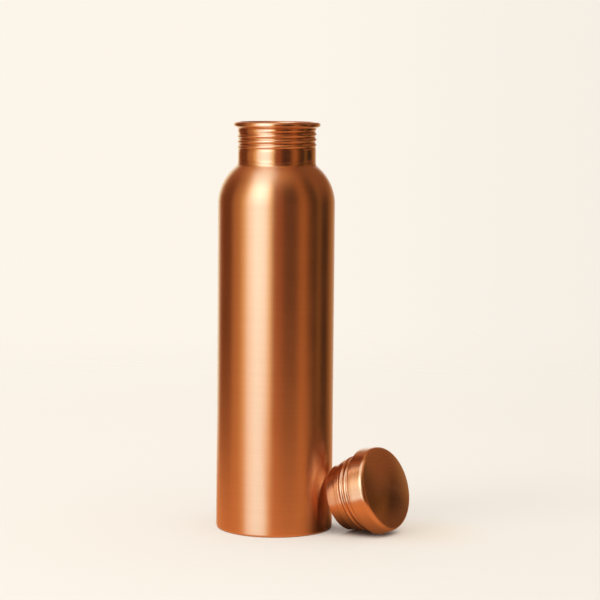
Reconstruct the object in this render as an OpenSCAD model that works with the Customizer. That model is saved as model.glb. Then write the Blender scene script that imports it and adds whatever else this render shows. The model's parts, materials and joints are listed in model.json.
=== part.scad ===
// Copper water bottle, open and standing, with its domed screw cap lying on its side
// beside it. Origin: centre of the base disc's underside. +Z runs up the bottle's axis.
// Units are millimetres.

/* [Body] */
// outside diameter of the straight body tube
body_d = 73; // [60:0.5:90]
// height where the straight wall turns into the shoulder
shoulder_z = 203.7; // [150:0.1:240]
// radius of the shoulder's outward curve, in section
shoulder_r = 30.3; // [20:0.1:40]
// radius of the inward curve where the shoulder meets the neck
fillet_r = 3; // [1:0.1:6]
// sheet thickness of every copper piece
wall = 0.7; // [0.5:0.05:1.2]
// radius of the rounded edge that the bottle stands on
foot_r = 1.5; // [0.8:0.1:4]

/* [Neck] */
// outside diameter of the plain neck band
neck_d = 48.7; // [40:0.1:60]
// height of the seam between the shoulder and the neck collar
seam_z = 230; // [200:0.1:240]
// overall height to the top of the rolled lip
lip_z = 254.6; // [220:0.1:280]
// section radius of the rolled lip
lip_r = 1.72; // [1:0.01:3]
// outside diameter over the thread's ridges
ridge_d = 49.5; // [42:0.1:60]
// outside diameter in the thread's grooves
groove_d = 48; // [42:0.1:60]
// sheet thickness left in the neck thread's grooves by the rolling
groove_wall = 0.55; // [0.3:0.05:0.7]
// height of the lowest ridge
ridge_z = 239.4; // [232:0.1:250]
// spacing of the ridges, on the neck and on the cap
pitch = 3.35; // [2:0.05:5]
// number of ridges on the neck, and on the cap
ridges = 3; // [2:1:5]

/* [Base] */
// diameter of the flat face of the base disc
disc_d = 66.6; // [50:0.1:80]
// width of the lip of the disc that laps over the foot inside
disc_lap = 1.5; // [1:0.1:4]

/* [Cap] */
// outside diameter of the cap's side band at its open edge
cap_d = 54.6; // [50:0.1:66]
// height of the side band
band_h = 7.6; // [5:0.1:16]
// slope of the side band, which narrows towards the top, in degrees
band_slope = 7; // [0:0.5:12]
// radius of the soft edge between the band and the domed top
cap_edge_r = 3.5; // [1:0.1:6]
// slope of the domed top where it meets the soft edge, in degrees
dome_slope = 16; // [4:0.5:25]
// how far the side band's hem reaches in under the sleeve's flange
hem_w = 1.6; // [1:0.1:3]
// outside diameter over the cap thread's ridges
plug_ridge_d = 47.6; // [40:0.1:60]
// outside diameter in the cap thread's grooves
plug_groove_d = 46.2; // [40:0.1:60]
// depth of the first ridge below the cap's flange
plug_ridge_drop = 4.6; // [3:0.1:8]
// outside diameter of the plain skirt at the sleeve's free end
skirt_d = 42; // [36:0.1:46]
// full depth of the sleeve below the cap's flange
sleeve_h = 21; // [14:0.1:30]
// how far the floor disc is set in from the sleeve's end
floor_inset = 0.9; // [0.2:0.1:3]

/* [Seal] */
// outside diameter of the silicone ring
seal_d = 50; // [48:0.1:54]
// thickness of the silicone ring
seal_t = 1; // [0.8:0.1:3]

/* [Cap at rest] */
// place of the flange centre beside the bottle, to the right
cap_x = 61.6; // [50:0.1:120]
// place of the flange centre, towards the front when negative
cap_y = -18.5; // [-60:0.1:20]
// turn of the dome towards the front, in degrees
cap_yaw = 35; // [0:0.1:90]
// gap left under the cap and between touching pieces
clear = 0.15; // [0.05:0.05:0.5]

/* [View] */
// which sub-part to draw, or all of them

/* [Hidden] */
$fn = 96;
arc_steps = 14;
copper = [0.80, 0.47, 0.29];
copper_dark = [0.72, 0.41, 0.25];
silicone = [0.86, 0.86, 0.83];

body_r = body_d / 2;
neck_r = neck_d / 2;
disc_r = disc_d / 2;
cap_r = cap_d / 2;
skirt_r = skirt_d / 2;
// centre of the shoulder's curve
shoulder_x = body_r - shoulder_r;
// centre of the inward curve, which touches both the shoulder and the neck
fillet_x = neck_r + fillet_r;
fillet_z = shoulder_z + sqrt(pow(shoulder_r + fillet_r, 2) - pow(fillet_x - shoulder_x, 2));
// angle at which the two curves meet
meet_a = atan2(fillet_z - shoulder_z, fillet_x - shoulder_x);
// centre of the rolled lip
lip_x = neck_r - wall + lip_r;
lip_cz = lip_z - lip_r;
// end angle of the lip's curl, which stops just short of the neck
curl_end = -112;
// small chamfer on a cut edge of the sheet
break_edge = 0.3;
// joint between the base disc and the foot around it
disc_gap = 0.2;
// solder film between two sheets that lie on each other
film = 0.05;
// ridge and groove radii
ridge_mid = (ridge_d + groove_d) / 4;
ridge_amp = (ridge_d - groove_d) / 4;
// the same on the inside, where the grooves are a little shallower
inner_ridge = ridge_d / 2 - wall;
inner_groove = groove_d / 2 - groove_wall;
inner_mid = (inner_ridge + inner_groove) / 2;
inner_amp = (inner_ridge - inner_groove) / 2;
plug_mid = (plug_ridge_d + plug_groove_d) / 4;
plug_amp = (plug_ridge_d - plug_groove_d) / 4;
ridge_steps = 10;
// small lead-in between a plain wall and the ridges
lead = 0.8;
// cap's domed top, a sphere that runs smoothly into the soft edge
dome_a = 90 - dome_slope;
edge_x = cap_r - band_h * tan(band_slope) - cap_edge_r * cos(band_slope);
edge_z = band_h - cap_edge_r * sin(band_slope);
dome_big_r = edge_x / cos(dome_a) + cap_edge_r;
dome_cz = edge_z - (dome_big_r - cap_edge_r) * sin(dome_a);
flange_z = wall + film;
// room between the sleeve's flange and the inside of the band
flange_gap = 0.3;
neck_step = 0.12;
// cap lies on the edge of its band and the end of its skirt
cap_tilt = atan((cap_r - skirt_r) / sleeve_h);
cap_z = cap_r * cos(cap_tilt) + clear;

// points along an arc, from angle a0 to angle a1
function arc(x, z, r, a0, a1, n = arc_steps) =
    [for (i = [0 : n]) let (a = a0 + (a1 - a0) * i / n) [x + r * cos(a), z + r * sin(a)]];

// points of rolled ridges going up, from the first groove to the last
function ridged(mid, amp, z0, count, back) =
    [for (i = [0 : count * ridge_steps])
        let (t = i / ridge_steps)
        [mid - back - amp * cos(360 * t), z0 + (t - 0.5) * pitch]];

// points in the opposite order
function flipped(p) = [for (i = [len(p) - 1 : -1 : 0]) p[i]];

// outline of the body tube and shoulder, set in by t from the outside surface
function body_line(t) = concat(
    arc(body_r - foot_r, foot_r, foot_r - t, -90, 0, 6),
    arc(shoulder_x, shoulder_z, shoulder_r - t, 0, meet_a),
    arc(fillet_x, fillet_z, fillet_r + t, meet_a + 180, 180, 6));

// straight body tube drawn in one piece with the foot and the shoulder
module body_shell() {
    color(copper)
    rotate_extrude()
    polygon(concat(
        [[disc_r + disc_gap, 0]],
        body_line(0),
        [[neck_r, seam_z], [neck_r - wall, seam_z]],
        flipped(body_line(wall)),
        [[disc_r + disc_gap, wall]]));
}

// flat disc closing the base, its stepped rim lapped over the foot inside
module base_disc() {
    step = wall + film;
    color(copper_dark)
    rotate_extrude()
    polygon([
        [0, 0],
        [disc_r, 0],
        [disc_r, step],
        [disc_r + disc_lap, step],
        [disc_r + disc_lap, step + wall],
        [disc_r - wall, step + wall],
        [disc_r - wall, wall],
        [0, wall]]);
}

// neck collar, rolled from sheet, with the thread's ridges and the curled lip
module neck_collar() {
    color(copper)
    rotate_extrude()
    polygon(concat(
        [[neck_r + neck_step, seam_z],
         [neck_r + neck_step, seam_z + break_edge],
         [neck_r, seam_z + 1.5 * break_edge],
         [neck_r, ridge_z - pitch / 2 - lead]],
        ridged(ridge_mid, ridge_amp, ridge_z, ridges, 0),
        [[neck_r, ridge_z + (ridges - 0.5) * pitch + lead],
         [neck_r, lip_cz]],
        arc(lip_x, lip_cz, lip_r - wall, 180, curl_end, 20),
        flipped(arc(lip_x, lip_cz, lip_r, 180, curl_end, 20)),
        [[neck_r - wall, ridge_z + (ridges - 0.5) * pitch + lead]],
        flipped(ridged(inner_mid, inner_amp, ridge_z, ridges, 0)),
        [[neck_r - wall, ridge_z - pitch / 2 - lead],
         [neck_r - wall, seam_z]]));
}

// places a cap piece from its upright position to where the cap lies at rest
module cap_at_rest() {
    translate([cap_x, cap_y, cap_z])
    rotate([0, 90 - cap_tilt, -cap_yaw])
    children();
}

// domed top and side band, drawn in one piece, with the hem turned in below
module cap_dome() {
    color(copper)
    cap_at_rest()
    rotate_extrude()
    polygon(concat(
        [[cap_r - hem_w, 0], [cap_r - break_edge, 0], [cap_r, break_edge]],
        arc(edge_x, edge_z, cap_edge_r, band_slope, dome_a, 8),
        arc(0, dome_cz, dome_big_r, dome_a, 90, 10),
        arc(0, dome_cz, dome_big_r - wall, 90, dome_a, 10),
        arc(edge_x, edge_z, cap_edge_r - wall, dome_a, band_slope, 8),
        [[cap_r - wall * tan(band_slope) - wall / cos(band_slope), wall],
         [cap_r - hem_w, wall]]));
}

// threaded sleeve: flange held in the band's hem, ridges, and a plain skirt
module cap_sleeve() {
    seat_r = plug_groove_d / 2;
    top_z = -plug_ridge_drop + pitch / 2;
    low_z = top_z - ridges * pitch;
    color(copper)
    cap_at_rest()
    rotate_extrude()
    polygon(concat(
        [[skirt_r - wall, -sleeve_h],
         [skirt_r - break_edge, -sleeve_h],
         [skirt_r, -sleeve_h + break_edge],
         [skirt_r, low_z - lead]],
        ridged(plug_mid, plug_amp, low_z + pitch / 2, ridges, 0),
        [[seat_r, flange_z],
         [cap_r - wall - flange_gap, flange_z],
         [cap_r - wall - flange_gap, flange_z + wall],
         [seat_r - wall, flange_z + wall]],
        flipped(ridged(plug_mid, plug_amp, low_z + pitch / 2, ridges, wall)),
        [[skirt_r - wall, low_z - lead]]));
}

// disc that closes the sleeve's end, dished rim upwards
module cap_floor() {
    rim_r = skirt_r - wall - film / 2;
    rim_h = 3;
    edge = 2 * break_edge;
    low_z = -sleeve_h + floor_inset;
    color(copper_dark)
    cap_at_rest()
    rotate_extrude()
    polygon([
        [0, low_z],
        [rim_r - edge, low_z],
        [rim_r, low_z + edge],
        [rim_r, low_z + rim_h],
        [rim_r - wall, low_z + rim_h],
        [rim_r - wall, low_z + wall],
        [0, low_z + wall]]);
}

// silicone ring under the flange, pressed on the rolled lip when the cap is closed
module seal_ring() {
    color(silicone)
    cap_at_rest()
    translate([0, 0, -clear - seal_t])
    difference() {
        cylinder(h = seal_t, d = seal_d);
        translate([0, 0, -1])
        cylinder(h = seal_t + 2, d = plug_groove_d + 0.7);
    }
}

body_shell();
base_disc();
neck_collar();
cap_dome();
cap_sleeve();
cap_floor();
seal_ring();
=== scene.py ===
"""Copper water bottle with its screw cap lying beside it: visible model and studio."""
import json
import math

import bpy
from bpy.props import FloatProperty, FloatVectorProperty, IntProperty, PointerProperty
from mathutils import Matrix, Vector


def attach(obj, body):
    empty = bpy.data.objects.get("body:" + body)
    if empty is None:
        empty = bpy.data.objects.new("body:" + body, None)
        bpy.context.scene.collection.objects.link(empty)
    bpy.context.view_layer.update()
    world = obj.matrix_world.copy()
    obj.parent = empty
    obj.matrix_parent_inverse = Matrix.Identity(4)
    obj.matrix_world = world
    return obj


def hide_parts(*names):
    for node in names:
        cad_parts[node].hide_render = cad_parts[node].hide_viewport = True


bl_info = {
    "name": "Copper water bottle",
    "version": (1, 0, 0),
    "blender": (4, 5, 0),
    "location": "View3D > Sidebar > Bottle",
    "description": "Builds a copper water bottle, its screw cap and a small studio",
    "category": "Add Mesh",
}

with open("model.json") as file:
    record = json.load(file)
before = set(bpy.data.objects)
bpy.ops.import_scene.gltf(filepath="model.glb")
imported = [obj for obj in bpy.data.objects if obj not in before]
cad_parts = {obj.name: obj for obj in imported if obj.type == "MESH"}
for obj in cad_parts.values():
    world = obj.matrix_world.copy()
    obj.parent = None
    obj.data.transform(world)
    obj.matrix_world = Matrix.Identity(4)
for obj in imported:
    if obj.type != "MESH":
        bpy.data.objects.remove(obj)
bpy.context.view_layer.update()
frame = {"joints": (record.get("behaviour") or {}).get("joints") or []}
MM = 0.001


def length(name, text, value):
    """A size in metres, given here in millimetres."""
    return FloatProperty(name=name, description=text, default=value * MM, unit="LENGTH", precision=5)


def tint(name, text, value):
    """A colour, as linear red, green and blue."""
    return FloatVectorProperty(
        name=name, description=text, default=value, size=3, min=0.0, soft_max=1.0, subtype="COLOR"
    )


def angle(name, text, value):
    """An angle in radians, given here in degrees."""
    return FloatProperty(name=name, description=text, default=math.radians(value), subtype="ANGLE")


def roughness(name, text, value):
    """How matt a surface is, from a mirror at 0 to chalk at 1."""
    return FloatProperty(name=name, description=text, default=value, min=0.05, max=1.0)


# ---------------------------------------------------------------- sizes and colours


class BottleSizes(bpy.types.PropertyGroup):
    body_r: length("Body radius", "Outside radius of the straight tube", 36.5)
    wall: length("Sheet", "Thickness of the copper sheet", 0.7)
    foot_r: length("Foot curve", "Radius of the rounded edge at the foot", 1.5)
    shoulder_z: length("Shoulder start", "Height where the wall turns in", 203.7)
    shoulder_r: length("Shoulder curve", "Section radius of the shoulder", 30.3)
    fillet_r: length("Neck curve", "Section radius where the shoulder meets the neck", 3.0)
    disc_r: length("Base disc radius", "Radius of the flat base disc", 33.3)
    neck_r: length("Neck radius", "Outside radius of the plain neck band", 24.35)
    seam_z: length("Neck seam", "Height of the seam under the neck collar", 230.0)
    lip_z: length("Lip height", "Overall height of the bottle", 254.6)
    lip_r: length("Lip curve", "Section radius of the rolled lip", 1.72)
    ridge_r: length("Ridge radius", "Outside radius over the thread", 24.75)
    groove_r: length("Groove radius", "Outside radius in the thread's groove", 23.9)
    thread_z: length("Thread start", "Height of the first ridge at the left side", 238.8)
    pitch: length("Thread pitch", "Rise of the thread in one turn", 3.35)
    sides: IntProperty(name="Sides", description="Facets around each turned piece", default=288, min=48)


class CapSizes(bpy.types.PropertyGroup):
    band_r: length("Band radius", "Outside radius of the cap's side band at its open edge", 27.3)
    band_h: length("Band height", "Height of the side band", 7.6)
    edge_r: length("Soft edge", "Radius between the band and the domed top", 3.5)
    wall: length("Sheet", "Thickness of the copper sheet", 0.7)
    hem: length("Hem", "Reach of the band's hem under the flange", 1.6)
    ridge_r: length("Ridge radius", "Outside radius over the cap's thread", 23.8)
    groove_r: length("Groove radius", "Outside radius in the cap's thread", 23.0)
    thread_drop: length("Thread depth", "First ridge below the flange", 4.6)
    pitch: length("Thread pitch", "Rise of the thread in one turn", 3.35)
    skirt_r: length("Skirt radius", "Outside radius of the plain skirt", 21.0)
    sleeve_h: length("Sleeve depth", "Depth of the sleeve below the flange", 21.0)
    floor_inset: length("Floor inset", "How far the floor disc sits inside the end", 0.9)
    seal_r: length("Seal radius", "Outside radius of the silicone ring", 25.0)
    seal_t: length("Seal thickness", "Thickness of the silicone ring", 1.0)
    dome_slope: angle("Dome slope", "Slope of the top at the soft edge", 16)
    band_slope: angle("Band slope", "How much the band narrows towards the top", 7)


class CopperFinish(bpy.types.PropertyGroup):
    copper: tint("Copper", "Colour of the polished sheet", (0.88, 0.46, 0.25))
    # the next two colours are painted light: a painted highlight on crests and tight convex edges, and
    # painted shade in grooves and tight hollows
    bright: tint("Painted edge highlight", "Colour of the painted highlight on crests and tight convex edges", (0.93, 0.55, 0.34))
    groove_shade: tint("Groove", "Colour of the painted shade in grooves and tight hollows", (0.62, 0.26, 0.12))
    inside: tint("Inside", "Colour of the unpolished inside", (0.70, 0.34, 0.18))
    silicone: tint("Silicone", "Colour of the seal", (0.80, 0.80, 0.76))
    satin: roughness("Satin", "Roughness of the body", 0.33)
    turned: roughness("Turned", "Roughness of the neck and cap", 0.25)


class StudioLook(bpy.types.PropertyGroup):
    paper: tint("Paper", "Colour of the backdrop", (0.980, 0.913, 0.825))
    lens: FloatProperty(name="Lens", description="Focal length in millimetres", default=126.0)
    distance: length("Distance", "Camera distance from the bottle", 1307)
    height: length("Height", "Camera height above the floor", 280.7)
    pitch: angle("Pitch", "Downward tilt", 5.99)
    yaw: angle("Yaw", "Turn to the right", 0.665)
    roll: angle("Roll", "Lean of the camera", 0.501)


# ---------------------------------------------------------------- turned pieces


def arc(x, z, r, a0, a1, n):
    """Points on an arc in the profile plane, angles in degrees."""
    out = []
    for i in range(n + 1):
        a = math.radians(a0 + (a1 - a0) * i / n)
        out.append((x + r * math.cos(a), z + r * math.sin(a)))
    return out


def eased(corners, closed=True, steps=5):
    """A path through corners (x, z, radius), with each corner rounded to its radius."""
    out = []
    n = len(corners)
    for i, (x, z, r) in enumerate(corners):
        here = Vector((x, z))
        if r <= 0 or (not closed and i in (0, n - 1)):
            out.append((x, z))
            continue
        a = Vector(corners[i - 1][:2]) - here
        b = Vector(corners[(i + 1) % n][:2]) - here
        angle = a.angle(b)
        cut = min(r / math.tan(angle / 2), a.length * 0.48, b.length * 0.48)
        p, q = here + a.normalized() * cut, here + b.normalized() * cut
        for k in range(steps + 1):
            t = k / steps
            m = p * (1 - t) ** 2 + here * 2 * t * (1 - t) + q * t * t
            out.append((m.x, m.y))
    return out


def spaced(path, step):
    """The same path with no gap longer than step."""
    out = [path[0]]
    for a, b in zip(path, path[1:]):
        n = max(1, math.ceil(math.dist(a, b) / step))
        out += [(a[0] + (b[0] - a[0]) * k / n, a[1] + (b[1] - a[1]) * k / n) for k in range(1, n + 1)]
    return out


def thread_shape(z, turn, start, pitch, first, last, gap):
    """How far a point is up a ridge, from -1 in the groove to 1 on the crest, and how full the
    thread is there."""
    along = (z - start) / pitch - turn
    k = round(along)
    off = along - k

    def full(t):
        ends = min(1.0, max(0.0, (t - first) / 0.18)) * min(1.0, max(0.0, (last - t) / 0.18))
        if gap and gap[0] < t < gap[1]:
            ends = min(ends, max(0.0, 1 - (t - gap[0]) / 0.12) + max(0.0, 1 - (gap[1] - t) / 0.12))
        return ends * ends * (3 - 2 * ends)

    near, far = full(k + turn), full(k + (1 if off > 0 else -1) + turn)
    share = abs(off)
    return math.cos(2 * math.pi * off), near * (1 - share) + far * share


def turned(name, path, sides, closed=True, swell=None, place=None):
    """A mesh turned about Z, then moved to its place.

    swell(x, z, turn) gives a change of radius and of the edge value, which sets a point's painted light: a
    painted highlight on crests and tight convex bends, painted shade in grooves and tight hollows.
    """
    rings, edge = [], []
    verts = []
    n = len(path)
    run = [0.0]
    for a, b in zip(path, path[1:]):
        run.append(run[-1] + math.dist(a, b))
    for i, (x, z) in enumerate(path):
        prev = path[i - 1] if (closed or i) else path[i]
        after = path[(i + 1) % n] if (closed or i < n - 1) else path[i]
        ax, az, bx, bz = x - prev[0], z - prev[1], after[0] - x, after[1] - z
        span = (math.hypot(ax, az) + math.hypot(bx, bz)) / 2 or 1.0
        bend = math.atan2(ax * bz - az * bx, ax * bx + az * bz) / span
        # tight convex bends get a painted highlight, tight hollows painted shade
        base_edge = 0.5 + max(-0.5, min(0.5, bend * 0.00045))
        if x < 1e-6:
            rings.append([len(verts)])
            verts.append((0.0, 0.0, z))
            edge.append(0.5)
            continue
        ring = []
        for s in range(sides):
            turn = s / sides
            dx, de = swell(x, z, turn) if swell else (0.0, 0.0)
            a = 2 * math.pi * turn
            ring.append(len(verts))
            verts.append(((x + dx) * math.cos(a), (x + dx) * math.sin(a), z))
            edge.append(max(0.0, min(1.0, base_edge + de)))
        rings.append(ring)
    faces, uvs = [], []
    pairs = list(zip(range(n - 1), range(1, n)))
    if closed:
        pairs.append((n - 1, 0))
        run.append(run[-1] + math.dist(path[-1], path[0]))
    for i, j in pairs:
        p, q = rings[i], rings[j]
        v0, v1 = run[i], run[j] if j else run[-1]
        for s in range(sides):
            t = (s + 1) % sides
            u0, u1 = s / sides, (s + 1) / sides
            if len(p) == 1:
                faces.append((p[0], q[t], q[s]))
                uvs += [((u0 + u1) / 2, v0), (u1, v1), (u0, v1)]
            elif len(q) == 1:
                faces.append((p[s], p[t], q[0]))
                uvs += [(u0, v0), (u1, v0), ((u0 + u1) / 2, v1)]
            else:
                faces.append((p[s], p[t], q[t], q[s]))
                uvs += [(u0, v0), (u1, v0), (u1, v1), (u0, v1)]
    mesh = bpy.data.meshes.new(name)
    mesh.from_pydata([place @ Vector(v) for v in verts] if place else verts, [], faces)
    own = mesh.attributes.new("lathe", "FLOAT_VECTOR", "POINT")
    own.data.foreach_set("vector", [c for v in verts for c in v])
    layer = mesh.uv_layers.new(name="turning")
    for loop, uv in zip(layer.data, uvs):
        loop.uv = uv
    painted_light = mesh.attributes.new("edge", "FLOAT", "POINT")
    painted_light.data.foreach_set("value", edge)
    mesh.polygons.foreach_set("use_smooth", [True] * len(mesh.polygons))
    mesh.validate()
    mesh.update()
    obj = bpy.data.objects.new(name, mesh)
    bpy.context.scene.collection.objects.link(obj)
    return obj


def cap_place():
    """Where the cap lies: its flange centre, and its axis as local Z."""
    joint = next(j for j in frame["joints"] if j["name"] == "cap_turn")
    axis = Vector(joint["axis"]).normalized()
    side = Vector((0, 0, 1)).cross(axis).normalized()
    up = axis.cross(side)
    place = Matrix((side, up, axis)).transposed().to_4x4()
    place.translation = Vector(joint["pos_m"])
    return place


def finished(obj, node, body, material):
    """Gives a piece its material, and has it stand for its solid and ride on its body."""
    obj.data.materials.append(material)
    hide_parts(node)
    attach(obj, body)


# ---------------------------------------------------------------- materials


def add(tree, kind, **settings):
    """Adds a shader node to the tree and gives it its settings."""
    node = tree.nodes.new(kind)
    for key, value in settings.items():
        setattr(node, key, value)
    return node


def brushed_copper(name, colour, rough, depth, streak, anisotropic):
    """Copper finished in the lathe: fine streaks run round; crests and tight edges get a painted
    highlight, grooves and hollows painted shade.
    """
    look = bpy.context.scene.copper_finish
    mat = bpy.data.materials.get(name)
    if mat:
        return mat
    mat = bpy.data.materials.new(name)
    mat.use_nodes = True
    tree = mat.node_tree
    tree.nodes.clear()
    out = add(tree, "ShaderNodeOutputMaterial")
    metal = add(tree, "ShaderNodeBsdfPrincipled")
    metal.inputs["Metallic"].default_value = 1.0
    metal.inputs["Anisotropic"].default_value = anisotropic
    metal.inputs["Anisotropic Rotation"].default_value = 0.25
    link = tree.links.new
    link(metal.outputs[0], out.inputs[0])
    around = add(tree, "ShaderNodeTangent", direction_type="UV_MAP", uv_map="turning")
    link(around.outputs[0], metal.inputs["Tangent"])

    # streaks: very fine along the profile, long around the piece
    uv = add(tree, "ShaderNodeUVMap", uv_map="turning")
    coords = add(tree, "ShaderNodeAttribute", attribute_name="lathe")
    split_uv = add(tree, "ShaderNodeSeparateXYZ")
    split = add(tree, "ShaderNodeSeparateXYZ")
    link(uv.outputs[0], split_uv.inputs[0])
    link(coords.outputs["Vector"], split.inputs[0])

    def scaled(socket, by):
        node = add(tree, "ShaderNodeMath", operation="MULTIPLY")
        link(socket, node.inputs[0])
        node.inputs[1].default_value = by
        return node.outputs[0]

    def streaks(fine, round_scale, detail):
        join = add(tree, "ShaderNodeCombineXYZ")
        link(scaled(split_uv.outputs[1], fine), join.inputs[0])
        link(scaled(split.outputs[0], round_scale), join.inputs[1])
        link(scaled(split.outputs[1], round_scale), join.inputs[2])
        noise = add(tree, "ShaderNodeTexNoise", noise_dimensions="3D")
        noise.inputs["Scale"].default_value = 1.0
        noise.inputs["Detail"].default_value = detail
        noise.inputs["Roughness"].default_value = 0.6
        link(join.outputs[0], noise.inputs["Vector"])
        return noise.outputs["Fac"]

    fine = streaks(streak, 60.0, 3.0)
    coarse = streaks(streak * 0.16, 18.0, 2.0)

    # slow change of tone over the sheet
    cloud = add(tree, "ShaderNodeTexNoise", noise_dimensions="3D")
    cloud.inputs["Scale"].default_value = 38.0
    cloud.inputs["Detail"].default_value = 3.0
    link(coords.outputs["Vector"], cloud.inputs["Vector"])

    def ranged(socket, low, high, to_low, to_high):
        node = add(tree, "ShaderNodeMapRange")
        link(socket, node.inputs["Value"])
        node.inputs["From Min"].default_value = low
        node.inputs["From Max"].default_value = high
        node.inputs["To Min"].default_value = to_low
        node.inputs["To Max"].default_value = to_high
        return node.outputs[0]

    def mixed(fac, a, b):
        node = add(tree, "ShaderNodeMix", data_type="RGBA")
        link(fac, node.inputs[0])
        for value, socket in ((a, node.inputs[6]), (b, node.inputs[7])):
            if hasattr(value, "links"):
                link(value, socket)
            else:
                socket.default_value = (*value, 1.0)
        return node.outputs[2]

    edge = add(tree, "ShaderNodeAttribute", attribute_name="edge")
    plain = mixed(ranged(cloud.outputs["Fac"], 0.3, 0.7, 0.0, 1.0), [c * 0.96 for c in colour], colour)
    streaked = mixed(ranged(coarse, 0.35, 0.65, 0.0, 0.35), plain, [c * 0.90 for c in colour])
    # painted highlight on crests and tight convex edges, painted shade in grooves and tight hollows
    painted_light = mixed(ranged(edge.outputs["Fac"], 0.55, 1.0, 0.0, 0.8), streaked, look.bright)
    groove_shaded = mixed(ranged(edge.outputs["Fac"], 0.45, 0.0, 0.0, 0.8), painted_light, look.groove_shade)
    link(groove_shaded, metal.inputs["Base Color"])

    base = ranged(fine, 0.3, 0.7, rough - 0.03, rough + 0.03)
    slow = ranged(cloud.outputs["Fac"], 0.3, 0.7, -0.02, 0.02)
    total = add(tree, "ShaderNodeMath", operation="ADD")
    link(base, total.inputs[0])
    link(slow, total.inputs[1])
    link(total.outputs[0], metal.inputs["Roughness"])

    mixed_height = add(tree, "ShaderNodeMath", operation="ADD")
    link(fine, mixed_height.inputs[0])
    link(scaled(coarse, 1.2), mixed_height.inputs[1])
    bump = add(tree, "ShaderNodeBump")
    bump.inputs["Strength"].default_value = depth
    bump.inputs["Distance"].default_value = 0.00006
    link(mixed_height.outputs[0], bump.inputs["Height"])
    link(bump.outputs[0], metal.inputs["Normal"])
    return mat


def satin_copper():
    look = bpy.context.scene.copper_finish
    return brushed_copper("satin copper", list(look.copper), look.satin, 0.05, 3600.0, 0.85)


def turned_copper():
    look = bpy.context.scene.copper_finish
    return brushed_copper("turned copper", list(look.copper), look.turned, 0.10, 2600.0, 0.75)


def inside_copper():
    look = bpy.context.scene.copper_finish
    return brushed_copper("unpolished copper", list(look.inside), 0.46, 0.10, 2000.0, 0.40)


def silicone():
    look = bpy.context.scene.copper_finish
    mat = bpy.data.materials.get("silicone")
    if mat:
        return mat
    mat = bpy.data.materials.new("silicone")
    mat.use_nodes = True
    tree = mat.node_tree
    soft = tree.nodes["Principled BSDF"]
    soft.inputs["Subsurface Weight"].default_value = 0.25
    soft.inputs["Subsurface Scale"].default_value = 0.0015
    coords = add(tree, "ShaderNodeTexCoord")
    grain = add(tree, "ShaderNodeTexNoise")
    grain.inputs["Scale"].default_value = 900.0
    tree.links.new(coords.outputs["Object"], grain.inputs["Vector"])
    tone = add(tree, "ShaderNodeMix", data_type="RGBA")
    tone.inputs[6].default_value = (*[c * 0.94 for c in look.silicone], 1.0)
    tone.inputs[7].default_value = (*look.silicone, 1.0)
    tree.links.new(grain.outputs["Fac"], tone.inputs[0])
    tree.links.new(tone.outputs[2], soft.inputs["Base Color"])
    rough = add(tree, "ShaderNodeMapRange")
    rough.inputs["To Min"].default_value = 0.42
    rough.inputs["To Max"].default_value = 0.56
    tree.links.new(grain.outputs["Fac"], rough.inputs["Value"])
    tree.links.new(rough.outputs[0], soft.inputs["Roughness"])
    return mat


# ---------------------------------------------------------------- bottle pieces


class BOTTLE_OT_body(bpy.types.Operator):
    """Turns the body shell: foot, straight tube and shoulder in one sheet"""

    bl_idname = "bottle.body"
    bl_label = "Body shell"

    def execute(self, context):
        s = context.scene.bottle_sizes
        cx = s.body_r - s.shoulder_r
        fx = s.neck_r + s.fillet_r
        fz = s.shoulder_z + math.sqrt((s.shoulder_r + s.fillet_r) ** 2 - (fx - cx) ** 2)
        meet = math.degrees(math.atan2(fz - s.shoulder_z, fx - cx))

        def line(t):
            wall = arc(s.body_r - s.foot_r, s.foot_r, s.foot_r - t, -90, 0, 10)
            wall += arc(cx, s.shoulder_z, s.shoulder_r - t, 0, meet, 48)
            wall += arc(fx, fz, s.fillet_r + t, meet + 180, 180, 14)[1:]
            return wall

        start = s.disc_r + 0.2 * MM
        soft = 0.12 * MM
        path = [(start, soft), (start + soft, 0.0)] + line(0)
        path += [(s.neck_r, s.seam_z - soft), (s.neck_r - soft, s.seam_z), (s.neck_r - s.wall, s.seam_z)]
        path += line(s.wall)[::-1] + [(start, s.wall)]
        obj = turned("bottle_tube", spaced(path, 6 * MM), s.sides)
        finished(obj, "body_shell", "bottle", satin_copper())
        return {"FINISHED"}


class BOTTLE_OT_base(bpy.types.Operator):
    """Turns the flat base disc with its lapped rim"""

    bl_idname = "bottle.base"
    bl_label = "Base disc"

    def execute(self, context):
        s = context.scene.bottle_sizes
        step = s.wall + 0.05 * MM
        out = s.disc_r + 1.5 * MM
        r = 0.12 * MM
        path = eased(
            [
                (0, 0, 0),
                (s.disc_r, 0, r),
                (s.disc_r, step, r),
                (out, step, r),
                (out, step + s.wall, r),
                (s.disc_r - s.wall, step + s.wall, r),
                (s.disc_r - s.wall, s.wall, r),
                (0, s.wall, 0),
            ],
            closed=False,
        )
        obj = turned("bottle_bottom", spaced(path, 4 * MM), s.sides, closed=False)
        finished(obj, "base_disc", "bottle", inside_copper())
        return {"FINISHED"}


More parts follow.
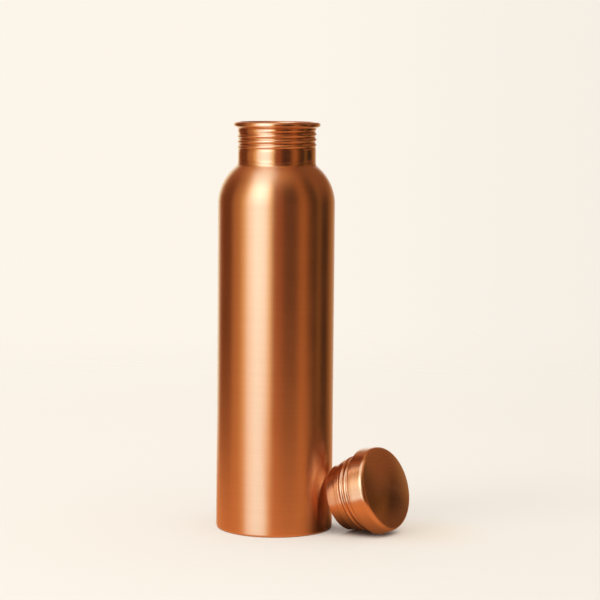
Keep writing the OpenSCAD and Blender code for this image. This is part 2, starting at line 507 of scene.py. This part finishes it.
class BOTTLE_OT_neck(bpy.types.Operator):
    """Turns the neck collar with its rolled thread and lip"""

    bl_idname = "bottle.neck"
    bl_label = "Neck collar"

    def execute(self, context):
        s = context.scene.bottle_sizes
        lx, lz = s.neck_r - s.wall + s.lip_r, s.lip_z - s.lip_r
        flare = 1.5 * MM
        under = lz - s.lip_r * 0.86
        outer = [
            (s.neck_r - 0.1 * MM, s.seam_z + 0.02 * MM),
            (s.neck_r + 0.06 * MM, s.seam_z + 0.04 * MM),
            (s.neck_r + 0.12 * MM, s.seam_z + 0.12 * MM),
            (s.neck_r + 0.12 * MM, s.seam_z + 0.32 * MM),
            (s.neck_r, s.seam_z + 0.55 * MM),
        ]
        neck_top = under - flare
        outer += spaced([outer[-1], (s.neck_r, s.seam_z + 7 * MM)], 2 * MM)[1:]
        outer += spaced([outer[-1], (s.neck_r, neck_top)], 0.13 * MM)[1:]
        outer += arc(s.neck_r + flare, neck_top, flare, 180, 118, 8)[1:]
        outer += arc(lx, lz, s.lip_r, -66, 180, 40)
        inner = spaced([(s.neck_r - s.wall, lz), (s.neck_r - s.wall, s.seam_z + 7 * MM)], 0.16 * MM)[1:]
        inner += spaced([inner[-1], (s.neck_r - s.wall, s.seam_z + 0.02 * MM)], 2 * MM)[1:]
        mid, amp = (s.ridge_r + s.groove_r) / 2, (s.ridge_r - s.groove_r) / 2

        def swell(x, z, turn):
            if z > neck_top + 0.9 * MM or z < s.seam_z + 6.9 * MM or abs(x - s.neck_r) > s.wall * 1.05:
                return 0.0, 0.0
            # the thread starts at the left side and climbs to the right
            wave, full = thread_shape(z, (turn + 0.5) % 1.0, s.thread_z, s.pitch, -0.35, 4.2, (2.95, 3.28))
            fade = 1 - max(0.0, min(1.0, (z - neck_top + 0.6 * MM) / (1.5 * MM)))
            full *= fade
            # the second value paints a highlight on the crests and shade in the grooves
            return (mid - s.neck_r + amp * wave) * full, 0.42 * wave * full

        obj = turned("bottle_neck", outer + inner, s.sides, swell=swell)
        finished(obj, "neck_collar", "bottle", turned_copper())
        return {"FINISHED"}


# ---------------------------------------------------------------- cap pieces


class BOTTLE_OT_cap_dome(bpy.types.Operator):
    """Turns the cap's domed top, soft edge and side band"""

    bl_idname = "bottle.cap_dome"
    bl_label = "Cap dome"

    def execute(self, context):
        s = context.scene.cap_sizes
        rise = math.degrees(math.pi / 2 - s.dome_slope)
        lean = math.degrees(s.band_slope)
        ex = s.band_r - s.band_h * math.tan(s.band_slope) - s.edge_r * math.cos(s.band_slope)
        ez = s.band_h - s.edge_r * math.sin(s.band_slope)
        big = ex / math.cos(math.radians(rise)) + s.edge_r
        cz = ez - (big - s.edge_r) * math.sin(math.radians(rise))
        soft = 0.3 * MM
        path = [(s.band_r - s.hem, 0.08 * MM), (s.band_r - s.hem + 0.08 * MM, 0.0)]
        path += arc(s.band_r - soft, soft, soft, -90, lean, 6)
        path += arc(ex, ez, s.edge_r, lean, rise, 20)
        path += arc(0, cz, big, rise, 90, 40)[1:-1] + [(0.0, cz + big)]
        back = [(0.0, cz + big - s.wall)]
        back += arc(0, cz, big - s.wall, 90, rise, 16)[1:]
        back += arc(ex, ez, s.edge_r - s.wall, rise, lean, 10)[1:]
        across = s.wall * (math.tan(s.band_slope) + 1 / math.cos(s.band_slope))
        back += [(s.band_r - across, s.wall), (s.band_r - s.hem, s.wall)]
        outside, inside = spaced(path, 2.5 * MM), spaced(back, 4 * MM)
        obj = turned_shell("cap_top", outside, inside, context.scene.bottle_sizes.sides, cap_place())
        finished(obj, "cap_dome", "cap", turned_copper())
        return {"FINISHED"}


def turned_shell(name, outside, inside, sides, place):
    """A shell that closes over its own axis: down the inside to the rim, then up the outside."""
    if inside[-1] == outside[0]:
        raise ValueError(name + ": the two skins meet in one point at the rim")
    return turned(name, inside + outside, sides, closed=False, place=place)


class BOTTLE_OT_cap_sleeve(bpy.types.Operator):
    """Turns the cap's threaded sleeve with its flange and plain skirt"""

    bl_idname = "bottle.cap_sleeve"
    bl_label = "Cap sleeve"

    def execute(self, context):
        s = context.scene.cap_sizes
        flange = s.wall + 0.05 * MM
        top = -s.thread_drop + s.pitch * 0.62
        low = top - 3.2 * s.pitch
        lead = 1.0 * MM
        rim = s.band_r - s.wall - 0.3 * MM
        end = -s.sleeve_h
        lip = 0.32 * MM
        outer = arc(s.skirt_r - lip, end + lip, lip, -90, 0, 6)
        outer += [(s.skirt_r, low - lead)]
        outer += arc(s.skirt_r + 0.6 * MM, low - lead, 0.6 * MM, 180, 110, 4)[1:]
        outer += [(s.groove_r - 0.25 * MM, low - lead + 0.75 * MM), (s.groove_r, low)]
        outer += spaced([(s.groove_r, low), (s.groove_r, top)], 0.13 * MM)[1:]
        outer += [(s.groove_r, flange - 0.3 * MM), (s.groove_r + 0.3 * MM, flange)]
        outer += [(rim, flange), (rim, flange + s.wall)]
        inner = [(s.groove_r - s.wall, flange + s.wall), (s.groove_r - s.wall, top)]
        inner += spaced([(s.groove_r - s.wall, top), (s.groove_r - s.wall, low)], 0.16 * MM)[1:]
        inner += [(s.skirt_r - s.wall, low - lead), (s.skirt_r - s.wall, end + 0.1 * MM)]
        inner += [(s.skirt_r - lip - 0.1 * MM, end)]
        height = s.ridge_r - s.groove_r

        def swell(x, z, turn):
            if z > top or z < low or abs(x - s.groove_r) > s.wall * 1.05:
                return 0.0, 0.0
            wave, full = thread_shape(z, turn, low + 0.95 * s.pitch, s.pitch, -0.30, 2.75, None)
            fade = min(1.0, (top - z) / (0.6 * MM), (z - low) / (0.6 * MM))
            # the second value paints a highlight on the crests and shade in the grooves
            return height * (0.5 + 0.5 * wave) * full * fade, 0.42 * wave * full

        path = spaced(outer, 3 * MM) + spaced(inner, 3 * MM)
        obj = turned("cap_screw", path, context.scene.bottle_sizes.sides, swell=swell, place=cap_place())
        finished(obj, "cap_sleeve", "cap", turned_copper())
        return {"FINISHED"}


class BOTTLE_OT_cap_floor(bpy.types.Operator):
    """Turns the dished disc that closes the sleeve's end"""

    bl_idname = "bottle.cap_floor"
    bl_label = "Cap floor"

    def execute(self, context):
        s = context.scene.cap_sizes
        rim = s.skirt_r - s.wall - 0.02 * MM
        low = -s.sleeve_h + s.floor_inset
        path = eased(
            [
                (0, low, 0),
                (rim, low, 0.6 * MM),
                (rim, low + 3 * MM, 0.1 * MM),
                (rim - s.wall, low + 3 * MM, 0.1 * MM),
                (rim - s.wall, low + s.wall, 0.3 * MM),
                (0, low + s.wall, 0),
            ],
            closed=False,
        )
        sides = context.scene.bottle_sizes.sides
        obj = turned("cap_end", spaced(path, 2.5 * MM), sides, closed=False, place=cap_place())
        finished(obj, "cap_floor", "cap", inside_copper())
        return {"FINISHED"}


class BOTTLE_OT_seal(bpy.types.Operator):
    """Turns the silicone ring under the cap's flange"""

    bl_idname = "bottle.seal"
    bl_label = "Seal ring"

    def execute(self, context):
        s = context.scene.cap_sizes
        top = -0.15 * MM
        r = 0.35 * MM
        path = eased(
            [
                (s.groove_r + 0.35 * MM, top - s.seal_t, r),
                (s.seal_r, top - s.seal_t, r),
                (s.seal_r, top, r),
                (s.groove_r + 0.35 * MM, top, r),
            ]
        )
        obj = turned("cap_gasket", path, context.scene.bottle_sizes.sides, place=cap_place())
        finished(obj, "seal_ring", "seal", silicone())
        return {"FINISHED"}


# ---------------------------------------------------------------- studio

# what the copper sees around it, by direction: degrees from the front, to the left when
# negative, and the light that comes from there
SURROUND = (
    (-180, (1.1, 1.3, 1.4)),
    (-156, (1.0, 1.1, 0.9)),
    (-140, (0.3, 0.1, 0.03)),
    (-126, (0.15, 0.05, 0.016)),
    (-102, (0.14, 0.045, 0.016)),
    (-90, (0.44, 0.22, 0.09)),
    (-78, (0.5, 0.26, 0.1)),
    (-66, (0.9, 0.7, 0.33)),
    (-55, (1.2, 1.4, 1.6)),
    (-38, (1.2, 1.8, 2.3)),
    (-22, (1.2, 1.6, 2.0)),
    (-12, (1.0, 0.9, 0.5)),
    (-4, (0.26, 0.06, 0.015)),
    (6, (0.3, 0.09, 0.03)),
    (20, (0.06, 0.02, 0.008)),
    (36, (0.06, 0.02, 0.007)),
    (55, (0.37, 0.15, 0.04)),
    (74, (0.08, 0.03, 0.005)),
    (84, (0.02, 0.01, 0.004)),
    (94, (0.2, 0.1, 0.02)),
    (106, (0.01, 0.006, 0.004)),
    (118, (0.02, 0.01, 0.004)),
    (132, (0.27, 0.13, 0.04)),
    (150, (0.5, 0.33, 0.16)),
    (180, (1.1, 1.3, 1.4)),
)
# the brightest that one of those lights may be
PEAK = 3.0
# how much brighter the softbox is at its hottest
HOT_SPOT = 0.95
# the ceiling, away from its panel and near it, and the panel itself
CEILING = (0.38, 0.155, 0.066)
CEILING_NEAR = (0.80, 0.47, 0.22)
PANEL = (1.15, 1.45, 1.70)
PANEL_WAY = (-0.333, -0.233, 0.914)
# the wall at the right, above the bottle's height
BROWN_WALL = (0.24, 0.105, 0.042)
# the even light on matt surfaces, and how much the backdrop darkens to the right
EVEN = (1.0, 0.95, 0.885)
EVEN_LEVEL = 0.90
PAPER_SHADE = 0.945
# the floor: paper, paper with painted warm light from the copper beside the cap, and painted contact shade
# in closed corners
FLOOR = (0.95, 0.925, 0.885)
FLOOR_WARM = (0.93, 0.83, 0.70)
FLOOR_CONTACT_SHADE = (0.16, 0.07, 0.03)
WARM_SPOT = (0.088, -0.018, 0.0)
# the floor's painted reflection in the copper, a warm glow, and the place under the cap where a painted
# shadow darkens it
FLOOR_GLOW = (0.74, 0.34, 0.14)
UNDER_CAP = (0.052, -0.006, 0.0)


class BOTTLE_OT_stage(bpy.types.Operator):
    """Sets the floor, the lights and the camera"""

    bl_idname = "bottle.stage"
    bl_label = "Studio"

    def execute(self, context):
        look = context.scene.studio_look
        self.surround(context.scene, look)
        self.floor(look)
        self.lights()
        self.camera(context.scene, look)
        context.scene.view_settings.view_transform = "Standard"
        return {"FINISHED"}

    def surround(self, scene, look):
        """Light by direction for reflections; plain paper for the camera; even light for matt surfaces."""
        world = bpy.data.worlds.new("studio")
        scene.world = world
        world.use_nodes = True
        tree = world.node_tree
        tree.nodes.clear()
        link = tree.links.new

        def calc(op, a, b=None, clamp=False):
            node = add(tree, "ShaderNodeMath", operation=op, use_clamp=clamp)
            for value, socket in ((a, node.inputs[0]), (b, node.inputs[1])):
                if value is None:
                    continue
                if hasattr(value, "links"):
                    link(value, socket)
                else:
                    socket.default_value = value
            return node.outputs[0]

        def step(value, low, high):
            node = add(tree, "ShaderNodeMapRange", interpolation_type="SMOOTHSTEP")
            link(value, node.inputs["Value"])
            node.inputs["From Min"].default_value = low
            node.inputs["From Max"].default_value = high
            return node.outputs[0]

        def mix(fac, a, b):
            node = add(tree, "ShaderNodeMix", data_type="RGBA")
            if hasattr(fac, "links"):
                link(fac, node.inputs[0])
            for value, socket in ((a, node.inputs[6]), (b, node.inputs[7])):
                if hasattr(value, "links"):
                    link(value, socket)
                else:
                    socket.default_value = (*value, 1.0)
            return node.outputs[2]

        coords = add(tree, "ShaderNodeTexCoord")
        way = add(tree, "ShaderNodeSeparateXYZ")
        link(coords.outputs["Generated"], way.inputs[0])
        side = calc("ARCTAN2", way.outputs[0], calc("MULTIPLY", way.outputs[1], -1.0))
        side = calc("MULTIPLY", side, 180 / math.pi)
        up = calc("MULTIPLY", calc("ARCSINE", way.outputs[2]), 180 / math.pi)

        ramp = add(tree, "ShaderNodeValToRGB")
        link(calc("DIVIDE", calc("ADD", side, 180.0), 360.0), ramp.inputs[0])
        stops = ramp.color_ramp.elements
        while len(stops) > 1:
            stops.remove(stops[-1])
        for i, (angle, light) in enumerate(SURROUND):
            stop = stops[0] if i == 0 else stops.new((angle + 180) / 360)
            stop.position = (angle + 180) / 360
            stop.color = (*[c / PEAK for c in light], 1.0)
        ramp.color_ramp.interpolation = "EASE"
        bands = add(tree, "ShaderNodeVectorMath", operation="SCALE")
        link(ramp.outputs[0], bands.inputs[0])
        bands.inputs["Scale"].default_value = PEAK

        # the softbox, front left, stands taller than the rest and is brightest high up
        box = calc("MULTIPLY", step(side, -72.0, -48.0), calc("SUBTRACT", 1.0, step(side, -17.0, -5.0)))
        hot = calc("MULTIPLY", step(up, 8.0, 28.0), calc("SUBTRACT", 1.0, step(up, 34.0, 52.0)))
        lit = add(tree, "ShaderNodeVectorMath", operation="SCALE")
        link(bands.outputs[0], lit.inputs[0])
        link(calc("ADD", calc("MULTIPLY", calc("MULTIPLY", box, hot), HOT_SPOT), 1.0), lit.inputs["Scale"])
        # the ceiling gives a dim warm light, with a soft panel hung in it, high on the left
        panel = add(tree, "ShaderNodeVectorMath", operation="DOT_PRODUCT")
        link(coords.outputs["Generated"], panel.inputs[0])
        panel.inputs[1].default_value = PANEL_WAY
        near = panel.outputs["Value"]
        ceiling = mix(step(near, 0.60, 0.93), CEILING, CEILING_NEAR)
        ceiling = mix(step(near, 0.89, 0.985), ceiling, PANEL)
        # it comes lower at the back than at the front
        back = step(calc("ABSOLUTE", side), 100.0, 135.0)
        right = calc("MULTIPLY", step(side, 84.0, 98.0), calc("SUBTRACT", 1.0, step(side, 150.0, 172.0)))
        brown = calc("MULTIPLY", right, step(up, 3.0, 16.0))
        low_top = step(calc("ADD", up, calc("MULTIPLY", back, 27.0)), 42.0, 58.0)
        tall_top = step(up, 48.0, 70.0)
        low_part = calc("MULTIPLY", low_top, calc("SUBTRACT", 1.0, box))
        top = calc("ADD", low_part, calc("MULTIPLY", tall_top, box))
        seen = mix(brown, mix(top, lit.outputs[0], ceiling), BROWN_WALL)

        ray = add(tree, "ShaderNodeLightPath")
        plain = add(tree, "ShaderNodeBackground")
        shade = step(way.outputs[0], -0.02, 0.16)
        link(mix(shade, look.paper, [c * PAPER_SHADE for c in look.paper]), plain.inputs[0])
        even = add(tree, "ShaderNodeBackground")
        even.inputs[0].default_value = (*EVEN, 1.0)
        even.inputs[1].default_value = EVEN_LEVEL
        gloss = add(tree, "ShaderNodeBackground")
        link(seen, gloss.inputs[0])
        pick = add(tree, "ShaderNodeMixShader")
        link(ray.outputs["Is Glossy Ray"], pick.inputs[0])
        link(even.outputs[0], pick.inputs[1])
        link(gloss.outputs[0], pick.inputs[2])
        last = add(tree, "ShaderNodeMixShader")
        link(ray.outputs["Is Camera Ray"], last.inputs[0])
        link(pick.outputs[0], last.inputs[1])
        link(plain.outputs[0], last.inputs[2])
        out = add(tree, "ShaderNodeOutputWorld")
        link(last.outputs[0], out.inputs[0])

    def floor(self, look):
        """A wide pale floor that fades into the backdrop; the copper sees only its near part."""
        size = 30.0
        mesh = bpy.data.meshes.new("floor")
        corners = [(-size, -size, 0), (size, -size, 0), (size, size, 0), (-size, size, 0)]
        mesh.from_pydata(corners, [], [(0, 1, 2, 3)])
        floor = bpy.data.objects.new("floor", mesh)
        bpy.context.scene.collection.objects.link(floor)
        floor.location.z = -0.00005
        mat = bpy.data.materials.new("pale floor")
        mat.use_nodes = True
        tree = mat.node_tree
        tree.nodes.clear()
        link = tree.links.new
        coords = add(tree, "ShaderNodeTexCoord")
        far = add(tree, "ShaderNodeVectorMath", operation="LENGTH")
        link(coords.outputs["Object"], far.inputs[0])

        def fade(value, low, high, least=0.0):
            node = add(tree, "ShaderNodeMapRange", interpolation_type="SMOOTHSTEP")
            link(value, node.inputs["Value"])
            node.inputs["From Min"].default_value = low
            node.inputs["From Max"].default_value = high
            node.inputs["To Min"].default_value = least
            return node.outputs[0]

        # paper, with painted warm light from the copper beside the cap, and painted contact shade, dark
        # brown, in the closed corners
        matt = add(tree, "ShaderNodeBsdfDiffuse")
        beside = add(tree, "ShaderNodeVectorMath", operation="DISTANCE")
        link(coords.outputs["Object"], beside.inputs[0])
        beside.inputs[1].default_value = WARM_SPOT
        warmed = add(tree, "ShaderNodeMix", data_type="RGBA")
        link(fade(beside.outputs["Value"], 0.005, 0.055), warmed.inputs[0])
        warmed.inputs[6].default_value = (*FLOOR_WARM, 1.0)
        warmed.inputs[7].default_value = (*FLOOR, 1.0)
        corner = add(tree, "ShaderNodeAmbientOcclusion", samples=8)
        corner.inputs["Distance"].default_value = 0.03
        openness = fade(corner.outputs["AO"], 0.04, 0.50)
        contact_shaded = add(tree, "ShaderNodeMix", data_type="RGBA")
        link(openness, contact_shaded.inputs[0])
        contact_shaded.inputs[6].default_value = (*FLOOR_CONTACT_SHADE, 1.0)
        link(warmed.outputs[2], contact_shaded.inputs[7])
        link(contact_shaded.outputs[2], matt.inputs[0])
        paper = add(tree, "ShaderNodeBsdfTransparent")
        shown = add(tree, "ShaderNodeMixShader")
        thin = add(tree, "ShaderNodeMath", operation="MULTIPLY")
        link(fade(far.outputs["Value"], 0.35, 1.1, 0.4), thin.inputs[0])
        link(openness, thin.inputs[1])
        link(thin.outputs[0], shown.inputs[0])
        link(matt.outputs[0], shown.inputs[1])
        link(paper.outputs[0], shown.inputs[2])

        # in the copper the floor is a painted reflection: warm near the bottle, with painted shadow by the
        # cap and painted shade for level rays to the right, and open to the softbox's light for level rays
        # to the front left
        warm = add(tree, "ShaderNodeEmission")
        warm.inputs[0].default_value = (*FLOOR_GLOW, 1.0)
        by_cap = add(tree, "ShaderNodeVectorMath", operation="DISTANCE")
        link(coords.outputs["Object"], by_cap.inputs[0])
        by_cap.inputs[1].default_value = UNDER_CAP
        shaded = add(tree, "ShaderNodeMath", operation="MULTIPLY")
        link(fade(by_cap.outputs["Value"], 0.012, 0.055, 0.04), shaded.inputs[0])
        link(shaded.outputs[0], warm.inputs[1])
        clear = add(tree, "ShaderNodeBsdfTransparent")
        view = add(tree, "ShaderNodeNewGeometry")
        toward = add(tree, "ShaderNodeSeparateXYZ")
        link(view.outputs["Incoming"], toward.inputs[0])
        rightward = add(tree, "ShaderNodeVectorMath", operation="DOT_PRODUCT")
        link(view.outputs["Incoming"], rightward.inputs[0])
        rightward.inputs[1].default_value = (1.0, 0.4, 0.0)
        link(fade(rightward.outputs["Value"], -0.98, -0.76, 0.22), shaded.inputs[1])
        left = add(tree, "ShaderNodeMath", operation="ARCTAN2")
        link(toward.outputs[0], left.inputs[0])
        link(toward.outputs[1], left.inputs[1])
        under = add(tree, "ShaderNodeMath", operation="MULTIPLY")
        steep = add(tree, "ShaderNodeMath", operation="MULTIPLY")
        link(fade(left.outputs[0], 0.10, 0.35), steep.inputs[0])
        flat = add(tree, "ShaderNodeMath", operation="SUBTRACT")
        flat.inputs[0].default_value = 1.0
        cap_side = add(tree, "ShaderNodeVectorMath", operation="DOT_PRODUCT")
        link(coords.outputs["Object"], cap_side.inputs[0])
        cap_side.inputs[1].default_value = (0.85, -0.5, 0.0)
        lowered = add(tree, "ShaderNodeMath", operation="MULTIPLY_ADD")
        link(fade(cap_side.outputs["Value"], 0.02, 0.04), lowered.inputs[0])
        lowered.inputs[1].default_value = 0.18
        link(toward.outputs[2], lowered.inputs[2])
        link(fade(lowered.outputs[0], 0.28, 0.50), flat.inputs[1])
        link(flat.outputs[0], steep.inputs[1])
        link(steep.outputs[0], under.inputs[0])
        outside = fade(left.outputs[0], 0.95, 1.25)
        inside = add(tree, "ShaderNodeMath", operation="SUBTRACT")
        inside.inputs[0].default_value = 1.0
        link(outside, inside.inputs[1])
        link(inside.outputs[0], under.inputs[1])
        open_floor = add(tree, "ShaderNodeMath", operation="MAXIMUM")
        link(fade(far.outputs["Value"], 0.12, 0.50), open_floor.inputs[0])
        link(under.outputs[0], open_floor.inputs[1])
        mirrored = add(tree, "ShaderNodeMixShader")
        link(open_floor.outputs[0], mirrored.inputs[0])
        link(warm.outputs[0], mirrored.inputs[1])
        link(clear.outputs[0], mirrored.inputs[2])
        ray = add(tree, "ShaderNodeLightPath")
        pick = add(tree, "ShaderNodeMixShader")
        link(ray.outputs["Is Glossy Ray"], pick.inputs[0])
        link(shown.outputs[0], pick.inputs[1])
        link(mirrored.outputs[0], pick.inputs[2])
        out = add(tree, "ShaderNodeOutputMaterial")
        link(pick.outputs[0], out.inputs[0])
        mesh.materials.append(mat)

    def lights(self):
        """A soft key from the front left, for the shadow on the floor only."""
        data = bpy.data.lights.new("key", "AREA")
        data.shape = "DISK"
        data.size = 0.7
        data.energy = 4.0
        data.color = (1.0, 0.95, 0.88)
        key = bpy.data.objects.new("key", data)
        bpy.context.scene.collection.objects.link(key)
        key.location = (-0.9, -0.5, 1.1)
        key.rotation_euler = (Vector((0.03, 0, 0.05)) - key.location).to_track_quat("-Z", "Y").to_euler()
        key.visible_glossy = False
        key.visible_camera = False

    def camera(self, scene, look):
        """The camera stands in front, just above the lip's height, and looks slightly down."""
        data = bpy.data.cameras.new("camera")
        data.lens = look.lens
        data.sensor_width = 36.0
        data.clip_start = 0.05
        camera = bpy.data.objects.new("camera", data)
        scene.collection.objects.link(camera)
        cp, sp = math.cos(look.pitch), math.sin(look.pitch)
        cy, sy = math.cos(look.yaw), math.sin(look.yaw)
        ahead = Vector((sy * cp, cy * cp, -sp))
        right = Vector((cy, -sy, 0))
        up = right.cross(ahead)
        lean_right = right * math.cos(look.roll) + up * math.sin(look.roll)
        lean_up = up * math.cos(look.roll) - right * math.sin(look.roll)
        place = Matrix((lean_right, lean_up, -ahead)).transposed().to_4x4()
        place.translation = Vector((0, -look.distance, look.height))
        camera.matrix_world = place
        scene.camera = camera


class BOTTLE_PT_panel(bpy.types.Panel):
    """Lists the pieces in the order they are made"""

    bl_idname = "BOTTLE_PT_panel"
    bl_label = "Copper water bottle"
    bl_space_type = "VIEW_3D"
    bl_region_type = "UI"
    bl_category = "Bottle"

    def draw(self, context):
        column = self.layout.column(align=True)
        for maker in MAKERS:
            column.operator(maker.bl_idname)


MAKERS = (
    BOTTLE_OT_body,
    BOTTLE_OT_base,
    BOTTLE_OT_neck,
    BOTTLE_OT_cap_dome,
    BOTTLE_OT_cap_sleeve,
    BOTTLE_OT_cap_floor,
    BOTTLE_OT_seal,
    BOTTLE_OT_stage,
)
GROUPS = (
    ("bottle_sizes", BottleSizes),
    ("cap_sizes", CapSizes),
    ("copper_finish", CopperFinish),
    ("studio_look", StudioLook),
)


def register():
    for name, group in GROUPS:
        bpy.utils.register_class(group)
        setattr(bpy.types.Scene, name, PointerProperty(type=group))
    for kind in (*MAKERS, BOTTLE_PT_panel):
        bpy.utils.register_class(kind)


def unregister():
    for kind in (BOTTLE_PT_panel, *reversed(MAKERS)):
        bpy.utils.unregister_class(kind)
    for name, group in reversed(GROUPS):
        delattr(bpy.types.Scene, name)
        bpy.utils.unregister_class(group)


def main():
    register()
    for maker in MAKERS:
        group, action = maker.bl_idname.split(".")
        getattr(getattr(bpy.ops, group), action)()
    bpy.context.view_layer.update()


if __name__ == "__main__":
    main()
